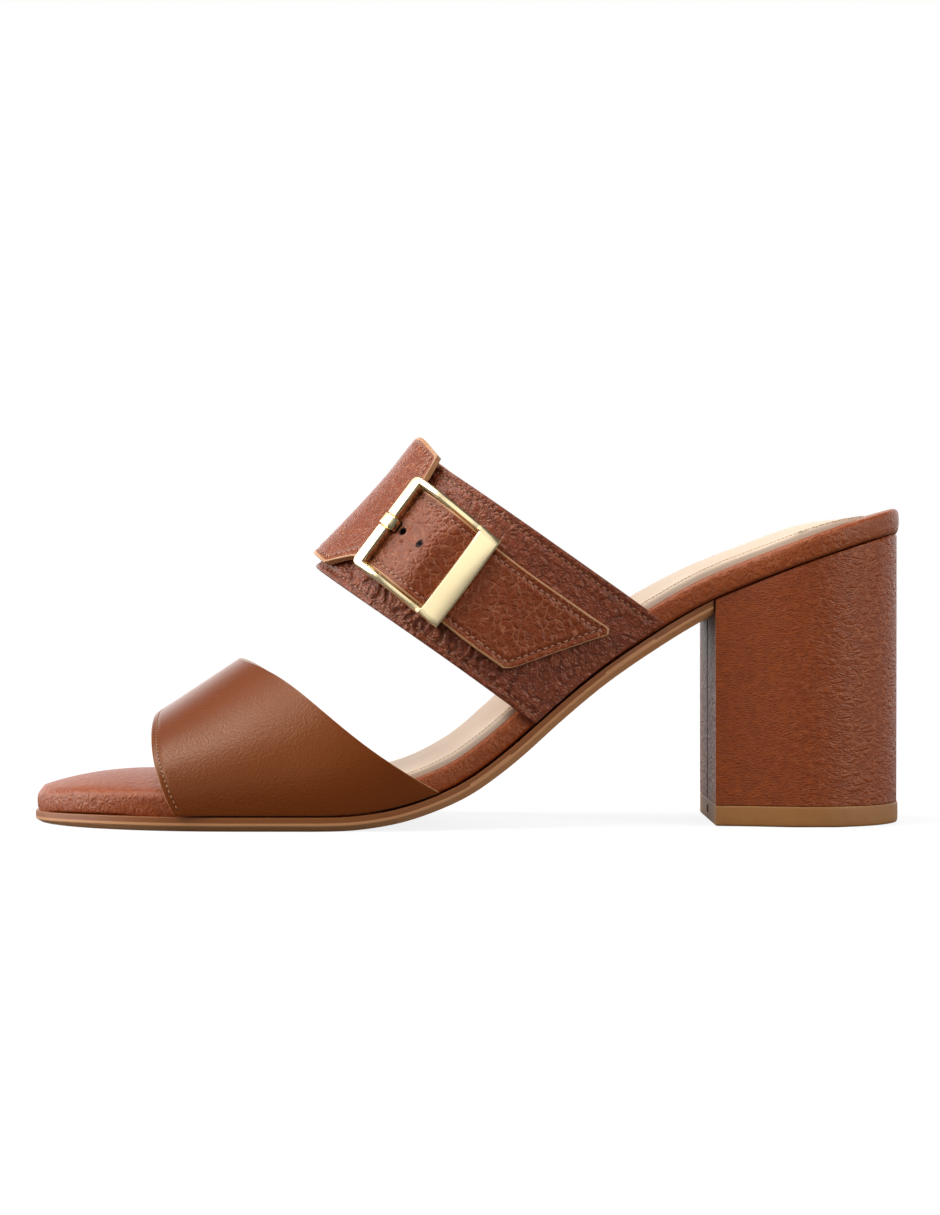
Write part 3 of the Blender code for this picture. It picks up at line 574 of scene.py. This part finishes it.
def waxed_thread(name, colour):
    """Bonded nylon thread, twisted and waxed: a soft shine, broken by the twist."""
    material, tree, shader = new_material(name)
    place = add_node(tree, "ShaderNodeTexCoord")
    ply = add_node(
        tree, "ShaderNodeTexWave", [(0, place.outputs["Object"]), ("Scale", 900.0), ("Distortion", 1.0)],
        bands_direction="DIAGONAL",
    )
    relief = add_node(
        tree, "ShaderNodeBump", [("Height", ply.outputs[1]), ("Strength", 0.3), ("Distance", 0.05 * mm)]
    )
    tree.links.new(relief.outputs[0], shader.inputs["Normal"])
    shader.inputs["Base Color"].default_value = linear(colour)
    shader.inputs["Roughness"].default_value = 0.5
    return material


def hole_shadow(name, colour):
    """A painted shadow for a punched hole, as at the end of a stitch: dark, with no shine of its own."""
    material, _, shader = new_material(name)
    shader.inputs["Base Color"].default_value = linear(colour)
    shader.inputs["Roughness"].default_value = 0.9
    return material


# Vegetable-tanned sheepskin, left uncoated: matt cream with faint clouds and pores about 0.7 mm apart
lining, tree, shader = new_material("cream_lining_leather")
place = add_node(tree, "ShaderNodeTexCoord")
drift = add_node(tree, "ShaderNodeTexNoise", [(0, place.outputs["Object"]), ("Scale", 60.0), ("Detail", 4.0)])
pores = add_node(tree, "ShaderNodeTexVoronoi", [(0, place.outputs["Object"]), ("Scale", 1500.0)])
creams = add_node(
    tree, "ShaderNodeMix",
    [(0, drift.outputs[0]), (6, linear("#c2a991")), (7, linear("#d4c0ab"))], data_type="RGBA",
)
relief = add_node(
    tree, "ShaderNodeBump",
    [("Height", pores.outputs["Distance"]), ("Strength", 0.12), ("Distance", 0.1 * mm)],
)
tree.links.new(creams.outputs[2], shader.inputs["Base Color"])
tree.links.new(relief.outputs[0], shader.inputs["Normal"])
shader.inputs["Roughness"].default_value = 0.6
shader.inputs["IOR"].default_value = 1.45

sock = welded_copy("sock_lining", "sock_padded")
sock.data.materials.append(lining)
_, sock_rim = region_edges(sock, 50)
sock_seam = seam_inside(sock_rim, 2.8 * mm)
move_up(sock, -0.9 * mm, lambda vert: vert.normal.z < -0.3)

# The back end lies down on the footbed: where it starts to, and how far down it is at its end
BACK_START = 80 * mm
BACK_LENGTH = 27 * mm
BACK_DOWN = 1.4 * mm
for vert in sock.data.vertices:
    vert.co.z -= BACK_DOWN * (max(0.0, vert.co.x - BACK_START) / BACK_LENGTH) ** 2
round_off(sock, 0.3 * mm, 3, 50)
sock_seam.append(sock_seam[0])
groove(sock, [sock_seam], 0.9 * mm, 0.5 * mm, 0.12 * mm)
finish_piece(sock, "sock_lining")
cream_thread = waxed_thread("cream_thread", "#c2a27c")
sock_stitches = sew(
    "sock_stitches", sock_seam, 2.2 * mm, cream_thread, hole_shadow("lining_needle_hole", "#7d6044"),
    surface_of(sock),
)

# The heel: a straight moulded block covered in pebbled leather, glued down smooth. The pebbles are drawn
# out sideways round the back, and stand up more there and on the flat breast. The cover's two ends meet in
# an upright seam in the middle of the breast, where a narrow gap is left.
heel_cover = pebbled_leather(
    "pebbled_heel_leather", ("#742e0c", "#8c3e12"), "#c0744a", 2.5 * mm, 0.42, 0.65, (0.62, 0.62, 1.5),
    0.42, (76 * mm, 108 * mm),
)
# The breast is covered by the same leather, but its folds are drawn pale grey and strong: a painted sheen on
# the flat breast.
breast_cover_painted_sheen = pebbled_leather(
    "pebbled_breast_leather_painted_sheen", ("#742e0c", "#8c3e12"), "#d0b49c", 2.4 * mm, 0.7, 0.9, (1, 1, 1), 0.42
)
heel = welded_copy("heel", "heel_covered")
heel.data.materials.append(heel_cover)
heel.data.materials.append(breast_cover_painted_sheen)
move_up(heel, 0.2 * mm, lambda vert: vert.normal.z > 0.3)
round_off(heel, 0.5 * mm, 3, 35)
# The faces that look to the toe, the flat breast, take the copy with the painted sheen.
for face in heel.data.polygons:
    face.material_index = 1 if face.normal.x < -0.9 else 0


def cut_slit(piece, middle, size):
    """Cuts a box, of the size and about the middle given, out of a piece."""
    bpy.ops.object.select_all(action="DESELECT")
    bpy.ops.mesh.primitive_cube_add(size=1.0, location=middle, scale=size)
    slit = bpy.context.object
    only(piece)
    boolean = piece.modifiers.new("slit", "BOOLEAN")
    boolean.object = slit
    bpy.ops.object.modifier_apply(modifier=boolean.name)
    bpy.data.objects.remove(slit)
    bpy.ops.object.shade_smooth_by_angle(angle=math.radians(40))


# The flat breast is at 65 mm, so that the gap is about 1 mm deep
cut_slit(heel, (64.9 * mm, 3.5 * mm, 33 * mm), (2.0 * mm, 2.4 * mm, 60 * mm))
finish_piece(heel, "heel")

# The top piece: a slab of khaki-brown rubber under the heel, moulded, with a small notch in its front
# face from the mould.

# Filled natural rubber, moulded and sanded: satin, with faint clouds and a fine tooth
rubber, tree, shader = new_material("moulded_heel_rubber")
place = add_node(tree, "ShaderNodeTexCoord")
cloud = add_node(
    tree, "ShaderNodeTexNoise", [(0, place.outputs["Object"]), ("Scale", 300.0), ("Detail", 5.0)]
)
tones = add_node(
    tree, "ShaderNodeMix",
    [(0, cloud.outputs[0]), (6, linear("#936030")), (7, linear("#a36f38"))], data_type="RGBA",
)
relief = add_node(
    tree, "ShaderNodeBump", [("Height", cloud.outputs[0]), ("Strength", 0.15), ("Distance", 0.1 * mm)]
)
tree.links.new(tones.outputs[2], shader.inputs["Base Color"])
tree.links.new(relief.outputs[0], shader.inputs["Normal"])
shader.inputs["Roughness"].default_value = 0.48
shader.inputs["IOR"].default_value = 1.52

top_piece = welded_copy("top_piece", "top_piece_moulded")
top_piece.data.materials.append(rubber)
move_up(top_piece, 0.25 * mm, lambda vert: vert.normal.z > 0.3)
round_off(top_piece, 0.35 * mm, 2, 35)
cut_slit(top_piece, (64.9 * mm, 2.6 * mm, 2.9 * mm), (2.0 * mm, 5.0 * mm, 2.2 * mm))
finish_piece(top_piece, "top_piece")

# The toe strap: smooth calf leather, drawn over the last and lined. Its front edge is turned and stitched
# close to the edge, and its back edge is cut clean, with the pale cut showing as a thin line.

# Aniline-dyed calf, plated smooth and waxed: a long soft highlight over pores about 0.6 mm apart
smooth_calf, tree, shader = new_material("smooth_calf_leather")
place = add_node(tree, "ShaderNodeTexCoord")
drift = add_node(tree, "ShaderNodeTexNoise", [(0, place.outputs["Object"]), ("Scale", 40.0), ("Detail", 3.0)])
pores = add_node(tree, "ShaderNodeTexVoronoi", [(0, place.outputs["Object"]), ("Scale", 1600.0)])
skin = add_node(
    tree, "ShaderNodeTexNoise", [(0, place.outputs["Object"]), ("Scale", 1800.0), ("Detail", 3.0)]
)
tans = add_node(
    tree, "ShaderNodeMix",
    [(0, drift.outputs[0]), (6, linear("#632b05")), (7, linear("#703107"))], data_type="RGBA",
)
grain = add_node(
    tree, "ShaderNodeMath", [(0, pores.outputs["Distance"]), (1, skin.outputs[0])], operation="ADD"
)
relief = add_node(
    tree, "ShaderNodeBump", [("Height", grain.outputs[0]), ("Strength", 0.4), ("Distance", 0.14 * mm)]
)
tree.links.new(tans.outputs[2], shader.inputs["Base Color"])
tree.links.new(relief.outputs[0], shader.inputs["Normal"])
shader.inputs["Roughness"].default_value = 0.34
shader.inputs["Specular IOR Level"].default_value = 0.38
shader.inputs["Specular Tint"].default_value = linear("#ffe2c0")
shader.inputs["IOR"].default_value = 1.5

cut_edge = painted_edge("cut_leather_edge", "#bf8d62", "#a06c42")

# Pigskin lining, undyed, with a buffed nap: matt tan, a little uneven
tan_lining, tree, shader = new_material("tan_pigskin_lining")
place = add_node(tree, "ShaderNodeTexCoord")
nap = add_node(tree, "ShaderNodeTexNoise", [(0, place.outputs["Object"]), ("Scale", 900.0), ("Detail", 4.0)])
tans = add_node(
    tree, "ShaderNodeMix", [(0, nap.outputs[0]), (6, linear("#b98d63")), (7, linear("#d0a67c"))],
    data_type="RGBA",
)
relief = add_node(
    tree, "ShaderNodeBump", [("Height", nap.outputs[0]), ("Strength", 0.25), ("Distance", 0.1 * mm)]
)
tree.links.new(tans.outputs[2], shader.inputs["Base Color"])
tree.links.new(relief.outputs[0], shader.inputs["Normal"])
shader.inputs["Roughness"].default_value = 0.7


def face_materials(piece, regions, materials):
    """Material 0 on the piece's outer face, 1 on its lined inner face and 2 on its edges."""
    for material in materials:
        piece.data.materials.append(material)
    for kind, region in enumerate(regions):
        for i in region:
            piece.data.polygons[i].material_index = min(kind, 2)


def sides_of(seam, turn=50):
    """A seam's loop cut at its corners into runs."""
    count = len(seam)
    corners = []
    for i in range(count):
        before = seam[i][0] - seam[i - 1][0]
        after = seam[(i + 1) % count][0] - seam[i][0]
        if before.length > 0 and after.length > 0 and before.angle(after) > math.radians(turn):
            corners.append(i)
    runs = []
    for here, there in zip(corners, corners[1:] + [corners[0] + count]):
        runs.append([seam[i % count] for i in range(here, there + 1)])
    return runs


def middle_of(run):
    """The mean of a run's places."""
    return sum((spot[0] for spot in run), Vector()) / len(run)


# Dark discs and walls for the needle holes and the tongue's holes: painted shadow
punched_hole_shade = hole_shadow("needle_hole_shadow", "#26120b")
toe_strap = welded_copy("toe_strap", "toe_strap_lasted")
regions, rim = region_edges(toe_strap)
face_materials(toe_strap, regions, (smooth_calf, tan_lining, cut_edge))
runs = sides_of(seam_inside(rim, 1.5 * mm))
front_run = min(runs, key=lambda run: middle_of(run).x)
round_off(toe_strap, 0.35 * mm, 3)
groove(toe_strap, [front_run], 0.5 * mm, 0.14 * mm, 0.03 * mm)
finish_piece(toe_strap, "toe_strap")
tan_thread = waxed_thread("tan_thread", "#96643e")
toe_stitches = sew("toe_strap_stitches", front_run, 1.5 * mm, tan_thread, punched_hole_shade, surface_of(toe_strap))

# The outer band: dark pebbled leather, lined, its long edges turned in and stitched two millimetres in.
# It runs from the sole on the outer side up under the buckle and ends unseen past the ridge. It has
# creased along its front edge, where it bends with the foot, and its folds are coloured near black:
# painted shade in them.
dark_leather = pebbled_leather(
    "dark_pebbled_leather", ("#682a14", "#8a4226"), "#3c1a0c", 2.6 * mm, 0.6, 0.75, (1, 1, 1), 0.38
)
dark_edge = painted_edge("dark_turned_edge", "#4c2417", "#6b3a26")
outer_band = welded_copy("outer_band", "outer_band_lasted")
regions, rim = region_edges(outer_band)
face_materials(outer_band, regions, (dark_leather, tan_lining, dark_edge))
runs = sides_of(seam_inside(rim, 2.0 * mm))
runs.sort(key=lambda run: -sum((b[0] - a[0]).length for a, b in zip(run, run[1:])))
round_off(outer_band, 0.4 * mm, 3)
groove(outer_band, runs[:2], 0.55 * mm, 0.3 * mm, 0.1 * mm)

# Each crease: how far along the front edge it starts, as a share, how many millimetres in it starts and
# ends, and its slant
CREASES = (
    (0.07, 3.5, 7.0, 0.6), (0.12, 2.8, 8.5, -0.3), (0.17, 4.0, 10.0, 0.7), (0.23, 2.7, 7.5, 0.3),
    (0.28, 3.6, 12.0, -0.4), (0.33, 2.8, 8.0, 0.8), (0.38, 3.4, 13.0, 0.1), (0.42, 2.7, 7.0, 0.6),
    (0.47, 3.8, 14.0, -0.5), (0.51, 2.8, 9.0, 0.5), (0.56, 3.4, 12.5, 0.3), (0.60, 2.7, 6.5, -0.6),
    (0.64, 3.0, 11.0, 0.5), (0.70, 3.6, 9.0, 0.0), (0.77, 2.8, 8.0, 0.4), (0.85, 3.5, 7.5, -0.3),
)
edge_start = Vector((-38.5, 0.0, 67.0)) * mm
edge_end = Vector((17.0, 0.0, 26.0)) * mm
along_edge = edge_end - edge_start
inwards = Vector((-along_edge.z, 0.0, along_edge.x)).normalized()
band_face = surface_of(outer_band)


def crease_paths(marks, start, run, aside, face):
    """Wavy creases laid on a face from the outer side. Each starts on the line run from start and goes
    off in the direction aside."""
    paths = []
    for number, (share, near, far, slant) in enumerate(marks):
        path = []
        for k in range(9):
            t = k / 8
            depth = near + (far - near) * t
            wave = 0.7 * math.sin(6.5 * t + 2.1 * number) + slant * depth * 0.3
            spot = start + run * share + aside * depth * mm + run.normalized() * wave * mm
            hit, normal, _, _ = face.ray_cast(Vector((spot.x, -0.1, spot.z)), Vector((0, 1, 0)))
            if hit:
                path.append((hit, normal))
        if len(path) > 1:
            paths.append(path)
    return paths


creases = crease_paths(CREASES, edge_start, along_edge, inwards, band_face)
groove(outer_band, creases, 0.42 * mm, 0.75 * mm, 0.25 * mm)
band_face = surface_of(outer_band)
brown_thread = waxed_thread("brown_thread", "#9a6848")
for name, run in zip(("front", "back"), runs[:2]):
    stitches = sew(f"outer_band_stitches_{name}", run, 1.9 * mm, brown_thread, punched_hole_shade, band_face)
finish_piece(outer_band, "outer_band")

# The buckle strap: two layers of pebbled leather, cut raw and stitched along every edge. It comes over the
# instep from the inner side, is cut down to a tongue, and passes under and through the buckle.
strap_leather = pebbled_leather(
    "pebbled_strap_leather", ("#682504", "#80340b"), "#c6825c", 2.2 * mm, 0.36, 0.5, (1, 1, 1), 0.38
)
buckle_strap = welded_copy("buckle_strap", "buckle_strap_cut")
regions, rim = region_edges(buckle_strap)
face_materials(buckle_strap, regions, (strap_leather, tan_lining, cut_edge))
seam = seam_inside(rim, 1.9 * mm)
seam.append(seam[0])

# The walls of the two free holes in the tongue are coloured dark: painted shadow inside them. HOLE_REACH
# is the most that a hole's wall spans from its middle, and the painted shadow reaches a little further,
# over its rounded rim.
HOLE_REACH = 1.8 * mm
HOLE_SHADOW_REACH = 2.2 * mm
holes = []
for region in regions[2:]:
    centres = [buckle_strap.data.polygons[i].center for i in region]
    middle = sum(centres, Vector()) / len(centres)
    in_tongue = abs(middle.x + 15 * mm) < 6 * mm and middle.z < 85 * mm
    if in_tongue and max((centre - middle).length for centre in centres) < HOLE_REACH:
        holes.append(middle)
round_off(buckle_strap, 0.35 * mm, 3, 35, 2, 1)
buckle_strap.data.materials.append(punched_hole_shade)
for face in buckle_strap.data.polygons:
    if face.material_index == 2 and any((face.center - hole).length < HOLE_SHADOW_REACH for hole in holes):
        face.material_index = 3

# The way down the tongue as seen from the outer side, and the way across it, with the swell's middle and
# half size along each, and its height
down = Vector((0.84, 0.0, -0.54))
across = Vector((0.54, 0.0, 0.84))
SWELL_DOWN = -47.5 * mm
SWELL_ACROSS = 52.5 * mm
SWELL_LENGTH = 4.0 * mm
SWELL_WIDTH = 10.5 * mm
SWELL_HEIGHT = 1.0 * mm


def swell_in_window(place):
    """The tongue arches up between the end bar and the keeper."""
    if place.y > -10 * mm or place.x > 2 * mm:
        return 0.0
    aside = (place.dot(across) - SWELL_ACROSS) / SWELL_WIDTH
    along = (place.dot(down) - SWELL_DOWN) / SWELL_LENGTH
    return SWELL_HEIGHT * max(0.0, 1 - aside**2) * math.exp(-(along**2))


shape_by(buckle_strap, swell_in_window)
groove(buckle_strap, [seam], 0.55 * mm, 0.22 * mm, 0.08 * mm)

# Fine wrinkles across the tongue where it bends under the buckle, marked as the creases of the band
WRINKLES = (
    (0.10, 2.0, 7.5, 0.1), (0.20, 1.2, 9.0, -0.1), (0.29, 2.5, 8.0, 0.2), (0.38, 4.5, 11.0, 0.0),
    (0.50, 5.5, 12.0, 0.15), (0.62, 4.0, 10.5, -0.1), (0.75, 2.0, 8.5, 0.1), (0.86, 2.6, 8.0, -0.15),
)
window_start = Vector((-25.4, 0.0, 69.5)) * mm
window_run = Vector((13.8, 0.0, 17.3)) * mm
wrinkles = crease_paths(
    WRINKLES, window_start, window_run, Vector((0.97, 0.0, -0.24)), surface_of(buckle_strap)
)
groove(buckle_strap, wrinkles, 0.28 * mm, 0.18 * mm, 0.04 * mm)
rose_thread = waxed_thread("rose_brown_thread", "#a8765f")
strap_stitches = sew(
    "buckle_strap_stitches", seam, 1.85 * mm, rose_thread, punched_hole_shade, surface_of(buckle_strap)
)
finish_piece(buckle_strap, "buckle_strap")

# The buckle: zinc, die cast, polished and plated pale gold. Its end bar, sides and raised keeper are one
# piece, curved to the foot, with a thin bar between the sides under the strap.

# Pale gold plate on polished zinc: mirror-like, a little dulled by fine handling marks
gold_plate, tree, shader = new_material("polished_gold_plate")
place = add_node(tree, "ShaderNodeTexCoord")
wear = add_node(tree, "ShaderNodeTexNoise", [(0, place.outputs["Object"]), ("Scale", 70.0), ("Detail", 3.0)])
rough = add_node(
    tree, "ShaderNodeMapRange", [(0, wear.outputs[0]), (1, 0.3), (2, 0.7), (3, 0.18), (4, 0.24)]
)
tree.links.new(rough.outputs[0], shader.inputs["Roughness"])
shader.inputs["Base Color"].default_value = linear("#f4e0b2")
shader.inputs["Metallic"].default_value = 1.0


def polish(piece, edge):
    """Rounds a casting's edges and keeps its faces flat."""
    only(piece)
    bevel = piece.modifiers.new("edges", "BEVEL")
    bevel.width = edge
    bevel.segments = 3
    bevel.limit_method = "ANGLE"
    bevel.angle_limit = math.radians(28)
    bpy.ops.object.modifier_apply(modifier=bevel.name)
    bpy.ops.object.shade_smooth_by_angle(angle=math.radians(35))


buckle = welded_copy("buckle", "buckle_cast")
buckle.data.materials.append(gold_plate)
far = max(vert.co.dot(down) for vert in buckle.data.vertices)

# The frame's bars are filled out a little, up to the keeper, and the keeper's far long edges are bevelled
KEEPER_ROOM = 6.5 * mm
shape_by(buckle, lambda place: 0.0 if place.dot(down) > far - KEEPER_ROOM else 0.2 * mm)
bpy.ops.object.mode_set(mode="EDIT")
bpy.ops.mesh.select_mode(type="EDGE")
bpy.ops.mesh.select_all(action="DESELECT")
bm = bmesh.from_edit_mesh(buckle.data)
for edge in bm.edges:
    if len(edge.link_faces) == 2 and edge.calc_face_angle() > math.radians(55):
        faces_out = any(face.normal.y < -0.85 for face in edge.link_faces)
        far_off = min(vert.co.dot(down) for vert in edge.verts) > far - 0.8 * mm
        edge.select_set(faces_out and far_off)
bmesh.update_edit_mesh(buckle.data)
bpy.ops.mesh.bevel(offset=0.75 * mm, segments=5, affect="EDGES")
bpy.ops.object.mode_set(mode="OBJECT")
polish(buckle, 0.18 * mm)
finish_piece(buckle, "buckle")

# The prong: the same gold plate, flat, from the bar under the strap through its slot into the notch.
prong = welded_copy("prong", "prong_cast")
prong.data.materials.append(gold_plate)
polish(prong, 0.2 * mm)
finish_piece(prong, "prong")
